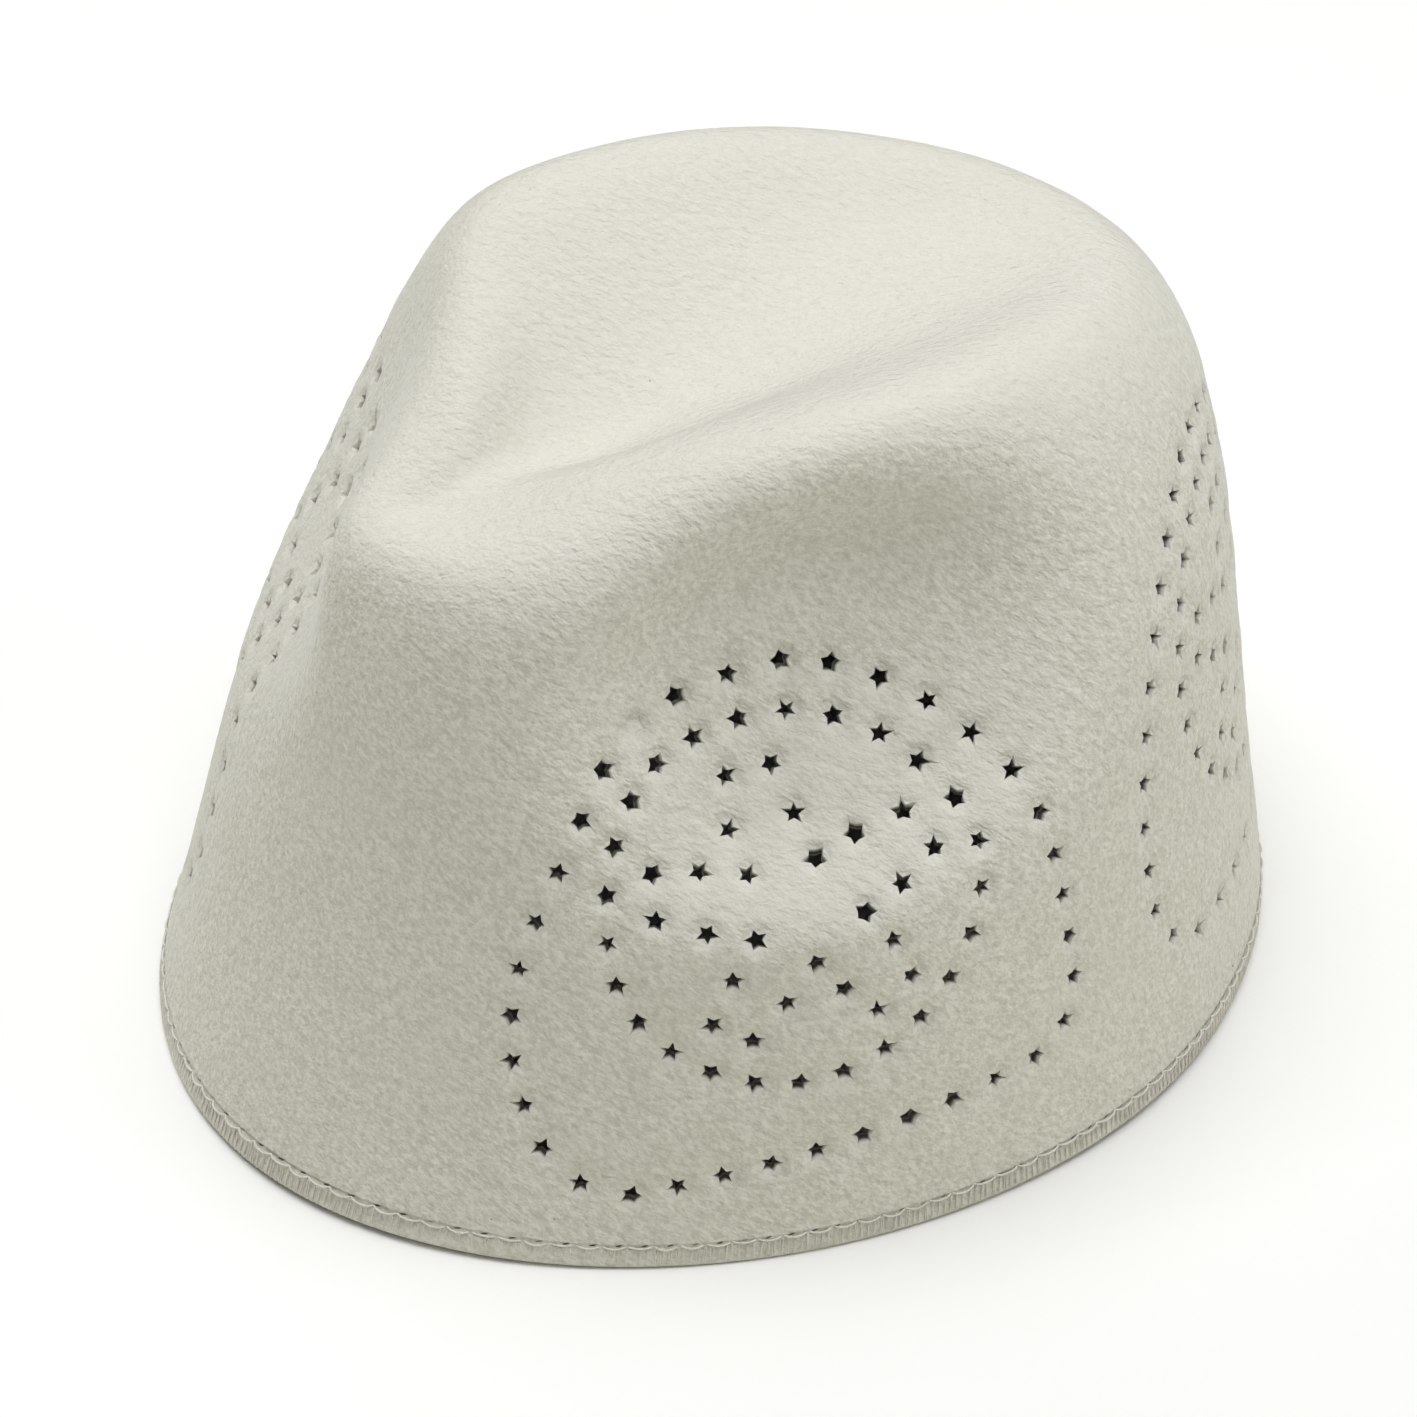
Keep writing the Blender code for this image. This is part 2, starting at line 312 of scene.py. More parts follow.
    def points(self, angles: Array, levels: Array) -> Array:
        """Points of the outer face, one for each pair of an angle and a level."""
        guides = self.guide_points(angles)
        plain = np.einsum("nk,nkc->nc", self.spline_weights(levels), guides)
        return self.pressed(plain, levels)

    def normals(self, angles: Array, levels: Array) -> Array:
        """Unit directions out of the felt, one for each pair of an angle and a level."""
        step = self.normal_step
        around = self.points(angles + step, levels) - self.points(angles - step, levels)
        upward = self.points(angles, levels + step) - self.points(angles, levels - step)
        return unit(np.cross(around, upward))

    def angles_at(self, around: Array) -> Array:
        """The angles of distances round the cap from the front, at its girth section."""
        angles, run = self.section_run(self.girth_section)
        return np.interp(around, run - run[len(run) // 2], angles)

    def section_run(self, number: int = 0) -> tuple[Array, Array]:
        """Angles from -pi to pi, and the length of a section from the first to each."""
        angles = np.linspace(-pi, pi, self.round_steps + 1)
        return angles, run_along(self.section_points(self.sections[number], angles))

    def levels_at(self, angles: Array, heights: Array) -> Array:
        """The levels at distances up the pressed wall from the bottom edge."""
        levels = np.linspace(0.0, len(self.sections) - 1.0, self.wall_steps + 1)
        found = []
        for angle, height in zip(angles, heights):
            line = self.points(np.full(len(levels), angle), levels)
            found.append(np.interp(height, run_along(line), levels))
        return np.array(found)


@dataclass(frozen=True)
class Lift:
    """A stretch of the edge that stands off the table, in degrees round the cap and in mm."""

    middle: float
    half_width: float
    amount: float


@dataclass
class Settling:
    """The small lifts of the bottom edge off the table, and the soft unevenness of the felt."""

    lifts: tuple[Lift, ...] = (Lift(14, 26, 1.0), Lift(106, 22, 1.0), Lift(-100, 45, 0.6))
    lift_reach: float = 22.0
    flare: float = 1.8
    broad_size: float = 34.0
    broad_depth: float = 0.45
    fine_size: float = 9.0
    fine_depth: float = 0.10
    seam_height: float = 4.2
    seam_width: float = 1.3
    seam_depth: float = 0.15
    calm_height: float = 25.0
    calm_least: float = 0.15

    def lift(self, angles: Array, heights: Array) -> Array:
        """How far the felt stands up from the table there, which fades out up the wall."""
        total = np.zeros(len(angles))
        for part in self.lifts:
            away = np.degrees(np.angle(np.exp(1j * (angles - radians(part.middle)))))
            total += part.amount * np.exp(-((away / part.half_width) ** 2))
        return total * np.exp(-np.maximum(heights, 0.0) / self.lift_reach)

    def settled(self, points: Array, angles: Array) -> Array:
        """The points once the cap stands: lifted, and spread outwards where they are lifted."""
        lift = self.lift(angles, points[:, 2])
        out = self.flare * lift
        move = np.stack([np.sin(angles) * out, -np.cos(angles) * out, lift], 1)
        return points + move

    def seam_press(self, heights: Array) -> Array:
        """How far the overlock threads press the felt in at heights over the edge."""
        share = np.clip((self.seam_height - heights) / self.seam_width, 0.0, 1.0)
        return self.seam_depth * share * share * (3 - 2 * share)

    def unevenness(self, points: Array) -> Array:
        """The small rise and fall of hand-shaped felt at each point, along its normal."""
        broad = [noise.noise(Vector(point) / self.broad_size) for point in points]
        shift = Vector((7, 3, 5))
        fine = [noise.noise(Vector(point) / self.fine_size + shift) for point in points]
        calm = np.clip(points[:, 2] / self.calm_height, self.calm_least, 1.0)
        return calm * (self.broad_depth * np.array(broad) + self.fine_depth * np.array(fine))


@dataclass(frozen=True)
class Medallion:
    """Where one pierced pattern sits: its distance round the cap and up the wall."""

    name: str
    around: float
    height: float
    pull: Pull


@dataclass(frozen=True)
class StarHole:
    """A hole of the blunt star: its distance from the middle and its half angle."""

    radius: float
    half_angle: float


@dataclass(frozen=True)
class PunchRing:
    """One ring of a punch: its height over the felt and how wide it is."""

    height: float
    scale: float


@dataclass
class Piercing:
    """Every star-shaped hole: a round-headed frame, a ring and a blunt star, four times over."""

    form: CrownForm
    near_pull: Pull = Pull(0.198, -0.025, 0.03, -1.24, 4.35, 1.91, -1.3, -2.56, 1.41, 0.68, -1.18)
    frame_half_width: float = 48.9
    frame_low: float = -43.6
    frame_spring: float = -31.0
    frame_top: float = 37.4
    frame_corner: float = 12.2
    frame_count: int = 35
    ring_radius: float = 30.5
    ring_count: int = 25
    ring_start: float = 159.2
    star_arms: int = 5
    star_turn: float = 122.5
    notch: StarHole = StarHole(9.4, 36.0)
    arm_side: StarHole = StarHole(16.0, 18.8)
    arm_tip: StarHole = StarHole(23.2, 9.2)
    punch_radius: float = 1.88
    waists: Pair = (0.44, 0.62)
    torn_waists: Pair = (0.62, 0.76)
    torn_share: float = 0.12
    thickness: float = FELT_THICKNESS
    dimple_depth: float = 0.75
    dimple_radius: float = 2.7
    plugged: tuple[int, ...] = (9,)
    torn: tuple[int, ...] = (8, 10)
    corner_reach: Pair = (0.86, 1.12)
    sunk_share: float = 0.5
    turn_steps: int = 180
    corner_steps: int = 30
    plug_depth: float = 0.35
    punch_corners: int = 10
    punch_profile: tuple[PunchRing, ...] = (
        PunchRing(-5.0, 0.86),
        PunchRing(-0.8, 0.9),
        PunchRing(-0.15, 1.0),
        PunchRing(0.3, 1.3),
        PunchRing(1.5, 2.3),
    )
    centres: Array = field(init=False)
    directions: Array = field(init=False)
    states: list[Hole] = field(init=False)

    def __post_init__(self) -> None:
        """Places every hole of the four patterns."""
        patterns = (
            Medallion("left_front", 90.0, 62.9, self.near_pull),
            Medallion("left_back", 199.3, 66.2, Pull(slant=-0.146)),
            Medallion("right_front", -85.0, 60.0, Pull()),
            Medallion("right_back", -193.0, 62.0, Pull()),
        )
        flat = self.frame_holes() + self.ring_holes() + self.star_holes()
        around, heights, self.states = [], [], []
        for pattern in patterns:
            for number, hole in enumerate(flat):
                across, up = pattern.pull.moved(*hole)
                around.append(pattern.around + across)
                heights.append(pattern.height + up)
                self.states.append(self.state(pattern, number))
        angles = self.form.angles_at(np.array(around))
        levels = self.form.levels_at(angles, np.array(heights))
        self.centres = self.form.points(angles, levels)
        self.directions = self.form.normals(angles, levels)

    def state(self, pattern: Medallion, number: int) -> Hole:
        """How the punch left one hole of a pattern."""
        if pattern.name != "left_front":
            return Hole.OPEN
        if number in self.plugged:
            return Hole.PLUGGED
        return Hole.TORN if number in self.torn else Hole.OPEN

    def frame_holes(self) -> list[Pair]:
        """Holes spaced evenly along the round-headed frame, up from its lower left corner."""
        half, corner = self.frame_half_width, self.frame_corner
        rise = self.frame_top - self.frame_spring
        line = [(-half, self.frame_low + corner)]
        for step in range(self.turn_steps + 1):
            turn = pi - pi * step / self.turn_steps
            line.append((half * cos(turn), self.frame_spring + rise * sin(turn)))
        for centre_x, first in ((half - corner, 0.0), (corner - half, -pi / 2)):
            for step in range(self.corner_steps + 1):
                turn = first - pi / 2 * step / self.corner_steps
                x = centre_x + corner * cos(turn)
                line.append((x, self.frame_low + corner + corner * sin(turn)))
        path = np.array(line)
        run = run_along(path)
        spots = np.arange(self.frame_count) * run[-1] / self.frame_count
        return list(zip(np.interp(spots, run, path[:, 0]), np.interp(spots, run, path[:, 1])))

    @staticmethod
    def polar(radius: float, degrees: float) -> Pair:
        """The across and up of a place at a radius and an angle."""
        return radius * cos(radians(degrees)), radius * sin(radians(degrees))

    def ring_holes(self) -> list[Pair]:
        """Holes spaced evenly round the ring."""
        step = 360 / self.ring_count
        count = range(self.ring_count)
        return [self.polar(self.ring_radius, self.ring_start - i * step) for i in count]

    def star_holes(self) -> list[Pair]:
        """A notch, two arm sides and two tip corners for each arm of the star."""
        holes = []
        for arm in range(self.star_arms):
            axis = self.star_turn + self.notch.half_angle - arm * 360 / self.star_arms
            holes.append(self.polar(self.notch.radius, axis - self.notch.half_angle))
            for hole in (self.arm_side, self.arm_tip):
                holes.append(self.polar(hole.radius, axis - hole.half_angle))
                holes.append(self.polar(hole.radius, axis + hole.half_angle))
        return holes

    def tree(self) -> KDTree:
        """A search tree of the holes' middles, in millimetres."""
        found = KDTree(len(self.centres))
        for number, centre in enumerate(self.centres):
            found.insert(Vector(centre), number)
        found.balance()
        return found

    def nearest(self, points: Array) -> tuple[Array, Array]:
        """The number of the hole nearest to each point, and how far away its middle is."""
        tree = self.tree()
        found = [tree.find(Vector(point))[1:] for point in points]
        return np.array([hit[0] for hit in found]), np.array([hit[1] for hit in found])

    def dimple(self, distance: Array) -> Array:
        """How deep the felt is drawn in at distances from the nearest hole."""
        return self.dimple_depth * np.exp(-((distance / self.dimple_radius) ** 2))

    def star_template(self) -> bpy.types.Mesh:
        """One closed star punch at the origin, wider at +Z, where it enters the felt."""
        below = self.punch_profile[0]
        shape = bmesh.new()
        bmesh.ops.create_circle(shape, cap_ends=True, segments=self.punch_corners, radius=1.0)
        start = Matrix.Translation((0, 0, below.height)) @ Matrix.Scale(below.scale, 4)
        bmesh.ops.transform(shape, matrix=start, verts=shape.verts)
        top = shape.faces[:]
        for ring in self.punch_profile[1:]:
            grown = bmesh.ops.extrude_face_region(shape, geom=top)["geom"]
            corners = [item for item in grown if isinstance(item, bmesh.types.BMVert)]
            if below is not self.punch_profile[0]:
                bmesh.ops.delete(shape, geom=top, context="FACES_ONLY")
            bmesh.ops.translate(shape, vec=(0, 0, ring.height - below.height), verts=corners)
            growth = ring.scale / below.scale
            bmesh.ops.scale(shape, vec=(growth, growth, 1), verts=corners)
            top = [item for item in grown if isinstance(item, bmesh.types.BMFace)]
            below = ring
        bmesh.ops.recalc_face_normals(shape, faces=shape.faces)
        return mesh_from(shape, "star_template")

    def punches(self) -> Piece:
        """Every star punch in one object, each square to the felt and a little uneven."""
        draw, count = Random(35), self.punch_corners
        template = self.star_template()
        shape = bmesh.new()
        for centre, direction, state in zip(self.centres, self.directions, self.states):
            first = len(shape.verts)
            shape.from_mesh(template)
            shape.verts.ensure_lookup_table()
            corners = shape.verts[first:]
            reach = [draw.uniform(*self.corner_reach) for _ in range(count)]
            ragged = draw.random() < self.torn_share or state is not Hole.OPEN
            waist = draw.uniform(*(self.torn_waists if ragged else self.waists))
            for vertex in corners:
                number = round(atan2(vertex.co.x, vertex.co.y) / (2 * pi / count)) % count
                size = self.punch_radius * reach[number] * (waist if number % 2 else 1.0)
                vertex.co.x *= size
                vertex.co.y *= size
                if state is Hole.PLUGGED and vertex.co.z < 0:
                    vertex.co.z = max(vertex.co.z, -self.plug_depth)
            sunk = Vector(centre) - Vector(direction) * self.sunk_share * self.dimple_depth
            turn = Vector(direction).to_track_quat("Z", "Y").to_matrix().to_4x4()
            spin = Matrix.Rotation(draw.uniform(0.0, 4 * pi / count), 4, "Z")
            place = Matrix.Diagonal((MM, MM, MM, 1)) @ Matrix.Translation(sunk) @ turn @ spin
            bmesh.ops.transform(shape, matrix=place, verts=corners)
        return linked("star_punches", mesh_from(shape, "star_punches"))


def settle_modifiers(obj: Piece) -> None:
    """Makes what the object's modifiers show its own mesh."""
    mesh = shown_mesh(obj)
    obj.modifiers.clear()
    obj.data = mesh


@dataclass
class FeltCrown:
    """The moulded felt shell: a fine sheet given its wall, a rounded edge and its holes."""

    form: CrownForm
    settling: Settling
    piercing: Piercing
    columns: int = 208
    rows: tuple[tuple[float, float, int], ...] = (
        (-0.12, 0.0, 1),
        (0.0, 0.05, 1),
        (0.05, 0.24, 12),
        (0.24, 5.5, 53),
        (5.5, 9.0, 26),
    )
    edge_height: float = 0.12
    edge_round: float = 0.6
    edge_turn: float = 0.3
    near_hole: float = 4.4
    last_normal: float = 8.9
    weld: float = 0.02
    crease: float = 38.0
    stitches: int = EDGE_STITCHES

    def row_levels(self) -> Array:
        """The levels of the mesh rows, from the waste below the edge up to the middle."""
        runs = [np.linspace(start, end, count + 1)[1:] for start, end, count in self.rows]
        return np.concatenate([[self.rows[0][0]], *runs])

    def places(self, shape: bmesh.types.BMesh) -> tuple[Array, Array]:
        """The angle and level of each vertex of the flat grid."""
        levels = self.row_levels()
        flat = np.array([vertex.co for vertex in shape.verts])
        row = np.clip(flat[:, 1] + 0.5, 0.0, 1.0) * (len(levels) - 1)
        return 2 * pi * flat[:, 0], np.interp(row, np.arange(len(levels)), levels)

    def sheet(self) -> Piece:
        """The outer face as one wrapped and closed grid in metres, finer round the holes."""
        shape = bmesh.new()
        count = len(self.row_levels()) - 1
        bmesh.ops.create_grid(shape, x_segments=self.columns, y_segments=count, size=0.5)
        away = self.piercing.nearest(self.form.points(*self.places(shape)))[1]
        close = away < self.near_hole
        shape.verts.index_update()
        edges = [e for e in shape.edges if close[e.verts[0].index] and close[e.verts[1].index]]
        bmesh.ops.subdivide_edges(shape, edges=edges, cuts=1, use_grid_fill=True)
        angles, levels = self.places(shape)
        points = self.form.points(angles, levels)
        normals = self.form.normals(angles, np.minimum(levels, self.last_normal))
        inward = self.piercing.dimple(self.piercing.nearest(points)[1])
        inward += self.settling.seam_press(points[:, 2])
        points = points + normals * (self.settling.unevenness(points) - inward)[:, None]
        for vertex, point in zip(shape.verts, points):
            vertex.co = Vector(point) * MM
        bmesh.ops.remove_doubles(shape, verts=shape.verts, dist=self.weld * MM)
        return linked("felt", mesh_from(shape, "felt"))

    def trim_edge(self, obj: Piece) -> None:
        """Cuts the felt flat at its bottom edge, closes the cut and rounds its two corners."""
        shape = bmesh.new()
        shape.from_mesh(obj.data)
        height = self.edge_height * MM
        everything = shape.verts[:] + shape.edges[:] + shape.faces[:]
        plane = {"plane_co": (0, 0, height), "plane_no": (0, 0, 1)}
        bmesh.ops.bisect_plane(shape, geom=everything, clear_inner=True, **plane)
        open_edges = [edge for edge in shape.edges if edge.is_boundary]
        bmesh.ops.bridge_loops(shape, edges=open_edges)
        flat = [
            edge
            for edge in shape.edges
            if all(abs(vertex.co.z - height) < SAME_PLACE for vertex in edge.verts)
            and len(edge.link_faces) == 2
            and abs(edge.link_faces[0].normal.z - edge.link_faces[1].normal.z) > self.edge_turn
        ]
        size = {"offset": self.edge_round * MM, "segments": 3, "profile": 0.5}
        bmesh.ops.bevel(shape, geom=flat, affect="EDGES", material=-1, **size)
        bmesh.ops.recalc_face_normals(shape, faces=shape.faces)
        shape.to_mesh(obj.data)
        shape.free()

    def pierce(self, obj: Piece) -> None:
        """Cuts every star hole through the felt."""
        punches = self.piercing.punches()
        cut = obj.modifiers.new("star_punches", "BOOLEAN")
        cut.operation = "DIFFERENCE"
        cut.solver = "EXACT"
        cut.object = punches
        settle_modifiers(obj)
        bpy.data.objects.remove(punches)

    def settle_on_table(self, obj: Piece) -> None:
        """Lifts the edge a little where the felt does not touch the table."""
        points = np.array([vertex.co for vertex in obj.data.vertices]) / MM
        points = self.settling.settled(points, angles_of(points))
        obj.data.vertices.foreach_set("co", (points * MM).astype(np.float32).ravel())

    def map_corners(self, obj: Piece) -> None:
        """Adds the three maps that the finish reads, in millimetres.

        One gives each place's offset from its nearest hole, across and up. One gives its depth in
        that hole and its distance from the middle. The third gives its stitch, counted round the
        edge, and its height over the edge.

        Args:
            obj: the felt, before it is lifted off the table.
        """
        mesh = obj.data
        points = np.array([vertex.co for vertex in mesh.vertices]) / MM
        middles = np.array([face.center for face in mesh.polygons]) / MM
        face_of = np.repeat(np.arange(len(middles)), [f.loop_total for f in mesh.polygons])
        vertex_of = np.empty(len(mesh.loops), np.int32)
        mesh.loops.foreach_get("vertex_index", vertex_of)
        places = points[vertex_of]
        nearest = self.piercing.nearest(middles)[0][face_of]
        outward = self.piercing.directions[nearest]
        across = unit(np.cross((0.0, 0.0, 1.0), outward))
        offset = places - self.piercing.centres[nearest]
        upward = np.cross(outward, across)
        sideways, lifted = (offset * across).sum(1), (offset * upward).sum(1)
        self.add_map(mesh, "hole", sideways, lifted)
        depth = -(offset * outward).sum(1)
        self.add_map(mesh, "hole_wall", depth, np.hypot(sideways, lifted))
        angles, run = self.form.section_run()
        turn = np.interp(angles_of(places), angles, run / run[-1])
        middle_turn = np.interp(angles_of(middles), angles, run / run[-1])
        turn += np.round(middle_turn[face_of] - turn)
        self.add_map(mesh, "edge", turn * self.stitches, places[:, 2])

    @staticmethod
    def add_map(mesh: bpy.types.Mesh, name: str, first: Array, second: Array) -> None:
        """Stores two values for each face corner as a named map."""
        layer = mesh.uv_layers.new(name=name)
        layer.uv.foreach_set("vector", np.stack([first, second], 1).astype(np.float32).ravel())

    def build(self) -> Piece:
        """Builds the whole felt shell, in metres at the origin."""
        obj = self.sheet()
        wall = obj.modifiers.new("felt_wall", "SOLIDIFY")
        wall.thickness = self.piercing.thickness * MM
        wall.offset = -1.0
        wall.use_even_offset = True
        settle_modifiers(obj)
        self.trim_edge(obj)
        self.pierce(obj)
        self.map_corners(obj)
        self.settle_on_table(obj)
        obj.data.shade_smooth()
        obj.data.set_sharp_from_angle(angle=radians(self.crease))
        return obj

    def dress(self, obj: Piece, felt: Material) -> None:
        """Gives the felt its finish and sets it in the place of its solid."""
        dress(obj, felt)
        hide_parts("felt_crown")


@dataclass(frozen=True)
class ThreadPoint:
    """A bend of a stitch: its share of the way round, how proud it stands and how high it is."""

    share: float
    proud: float
    rise: float


@dataclass
class EdgeOverlock:
    """The overlocked bottom edge: a needle thread and the looper threads that wrap the edge."""

    form: CrownForm
    settling: Settling
    stitches: int = EDGE_STITCHES
    height: float = 3.9
    thread_radius: float = 0.17
    looper_radius: float = 0.12
    wraps: int = 520
    thickness: float = FELT_THICKNESS
    level_step: float = 0.1
    looseness: Pair = (-0.10, 0.22)
    sway: float = 0.22
    bulge: float = 4.0
    clear_of_felt: float = 0.1
    slip: float = 0.3
    reach: Pair = (-0.35, 0.15)
    relief: float = 0.05
    leg_foot: float = 0.6
    leg_head: float = 3.0
    dip: tuple[ThreadPoint, ...] = (
        ThreadPoint(0.00, -0.35, 0.30),
        ThreadPoint(0.06, -0.02, 0.26),
        ThreadPoint(0.20, 0.12, 0.05),
        ThreadPoint(0.45, 0.17, -0.12),
        ThreadPoint(0.70, 0.13, -0.08),
        ThreadPoint(0.88, 0.02, 0.12),
        ThreadPoint(0.96, -0.25, 0.24),
    )

    def edge_frame(self, turns: Array) -> tuple[Array, Array, Array]:
        """The bottom edge as seen by the stitches.

        Args:
            turns: places round the edge as shares of one turn.

        Returns:
            The outer edge points, the directions out of the felt and the directions up it.
        """
        line, run = self.form.section_run()
        angles = np.interp(turns % 1.0 * run[-1], run, line)
        flat = np.zeros(len(angles))
        points = self.form.points(angles, flat)
        outward = self.form.normals(angles, flat)
        upward = unit(self.form.points(angles, flat + self.level_step) - points)
        return self.settling.settled(points, angles), outward, upward

    def needle_path(self) -> Array:
        """The needle thread: each stitch dips into the felt at both ends."""
        draw = np.random.default_rng(8)
        turns, proud, rise = [], [], []
        for number in range(self.stitches):
            loose = draw.uniform(*self.looseness)
            sway = draw.uniform(-self.sway, self.sway)
            for share, out, up in (astuple(point) for point in self.dip):
                turns.append((number + share) / self.stitches)
                bulge = loose * out * self.bulge if out > self.clear_of_felt else 0.0
                proud.append(out + bulge)
                slack = loose * up if up < 0 else 0
                rise.append(self.height + up + sway * sin(pi * share) + slack)
        points, outward, upward = self.edge_frame(np.array(turns))
        return points + outward * np.array(proud)[:, None] + upward * np.array(rise)[:, None]

    def looper_path(self) -> Array:
        """The looper threads: down over the felt, round its cut edge, up inside and back."""
        draw = np.random.default_rng(21)
        inside = -self.thickness - self.settling.seam_depth
        skin = -self.settling.seam_depth
        leg = (
            ThreadPoint(0.00, skin + 0.22, 3.85),
            ThreadPoint(0.07, skin + 0.06, 2.4),
            ThreadPoint(0.11, skin + 0.05, 1.1),
            ThreadPoint(0.14, skin - 0.14, 0.42),
            ThreadPoint(0.19, skin - 0.75, 0.02),
            ThreadPoint(0.31, inside + 0.75, 0.02),
            ThreadPoint(0.36, inside + 0.14, 0.42),
            ThreadPoint(0.40, inside - 0.05, 1.2),
            ThreadPoint(0.44, inside - 0.05, 2.6),
            ThreadPoint(0.49, inside + 0.10, 3.7),
        )
        turns, out, up = [], [], []
        for number in range(self.wraps):
            for start, bends in ((0.0, leg), (0.5, leg[::-1])):
                slip, reach = draw.uniform(-self.slip, self.slip), draw.uniform(*self.reach)
                relief = draw.uniform(-self.relief, self.relief)
                for timing, bend in zip(leg, bends):
                    share, rise = start + timing.share, bend.rise
                    turns.append((number + share + slip * rise / self.height) / self.wraps)
                    out.append(bend.proud + (relief if rise > self.leg_foot else 0.0))
                    up.append(rise + (reach if rise > self.leg_head else 0.0))
        points, outward, upward = self.edge_frame(np.array(turns))
        level = unit(outward * np.array([1.0, 1.0, 0.0]))
        path = points + level * np.array(out)[:, None] + upward * np.array(up)[:, None]
        path[:, 2] = np.maximum(path[:, 2], self.looper_radius)
        return path

    def strand(self, name: str, path: Array, radius: float) -> Piece:
        """One round thread along a closed path, as a mesh in metres at the origin."""
        curve = bpy.data.curves.new(name, "CURVE")
        curve.dimensions = "3D"
        curve.bevel_depth = radius * MM
        curve.bevel_resolution = 1
        curve.resolution_u = 1
        spline = curve.splines.new("POLY")
        spline.points.add(len(path) - 1)
        spline.points.foreach_set("co", np.c_[path * MM, np.ones(len(path))].ravel())
        spline.use_cyclic_u = True
        holder = linked(name + "_path", curve)
        mesh = shown_mesh(holder)
        bpy.data.objects.remove(holder)
        mesh.shade_smooth()
        mesh.name = name
        return linked(name, mesh)

    def build(self) -> list[Piece]:
        """Builds the needle thread and the looper threads."""
        return [
            self.strand("overlock_needle_thread", self.needle_path(), self.thread_radius),
            self.strand("overlock_looper_threads", self.looper_path(), self.looper_radius),
        ]


@dataclass
class WoolNap:
    """The loose wool fibres on the outer face, each a thin curled ribbon."""

    form: CrownForm
    settling: Settling
    piercing: Piercing
    count: int = 30000
    lengths: Pair = (0.6, 1.7)
    half_width: float = 0.018
    rises: Pair = (0.02, 0.13)
    first_level: float = 0.17
    last_level: float = 8.8
    clear_of_hole: float = 1.7
    root_depth: float = 0.02
    curl: float = 0.9
    cells: tuple[int, int] = (240, 120)

    def roots(self, draw: np.random.Generator) -> tuple[Array, Array]:
        """The angles and levels of roots that are spread evenly over the outer face."""
        columns, rows = self.cells
        turn, climb = 2 * pi / columns, (self.last_level - self.first_level) / rows
        angles, levels = np.meshgrid(
            np.arange(columns) * turn, self.first_level + (np.arange(rows) + 0.5) * climb
        )
        angles, levels = angles.ravel(), levels.ravel()
        around = self.form.points(angles + turn / 2, levels)
        around -= self.form.points(angles - turn / 2, levels)
        upward = self.form.points(angles, levels + climb / 2)
        upward -= self.form.points(angles, levels - climb / 2)
        area = np.linalg.norm(np.cross(around, upward), axis=1)
        cell = draw.choice(len(area), self.count, p=area / area.sum())
        drift = draw.uniform(-0.5, 0.5, (2, self.count))
        return angles[cell] + drift[0] * turn, levels[cell] + drift[1] * climb

    def build(self) -> Piece:
        """Builds every fibre as one mesh, in metres at the origin."""
        draw = np.random.default_rng(77)
        angles, levels = self.roots(draw)
        points, normals = self.form.points(angles, levels), self.form.normals(angles, levels)
        gap = self.piercing.nearest(points)[1]
        inward = self.piercing.dimple(gap) + self.settling.seam_press(points[:, 2])
        proud = self.settling.unevenness(points) - inward - self.root_depth
        points += normals * proud[:, None]
        points = self.settling.settled(points, angles)
        keep = gap > self.clear_of_hole
        points, normals = points[keep], normals[keep]
        count = len(points)
        heading = draw.uniform(0, 2 * pi, count)
        first = unit(np.cross(normals, (0.31, 0.52, 0.79)))
        second = np.cross(normals, first)
        length = draw.uniform(*self.lengths, count)[:, None]
        rise = draw.uniform(*self.rises, count)[:, None]
        curl = draw.uniform(-self.curl, self.curl, count)
        tip = draw.uniform(0.0, 1.0, count)[:, None]
        rings = []
        for share, lift in ((0.0, 0.0), (0.5, 0.75), (1.0, tip)):
            aim = heading + curl * share
            way = first * np.cos(aim)[:, None] + second * np.sin(aim)[:, None]
            middle = points + way * length * share + normals * rise * lift
            half = np.cross(normals, way) * self.half_width * (1 - 0.5 * share)
            rings += [middle - half, middle + half]
        vertices = np.stack(rings, 1).reshape(-1, 3) * MM
        start = np.arange(count)[:, None] * len(rings)
        quads = np.concatenate([start + (0, 2, 3, 1), start + (2, 4, 5, 3)])
        mesh = bpy.data.meshes.new("wool_nap")
        mesh.from_pydata(vertices.tolist(), [], quads.tolist())
        mesh.shade_smooth()
        return linked("wool_nap", mesh)


@dataclass(frozen=True)
class Speck:
    """One bit of lint on the felt: about where it lies, its length, its width and its tone."""

    near: Triple
    length: float
    width: float
    tone: Colour


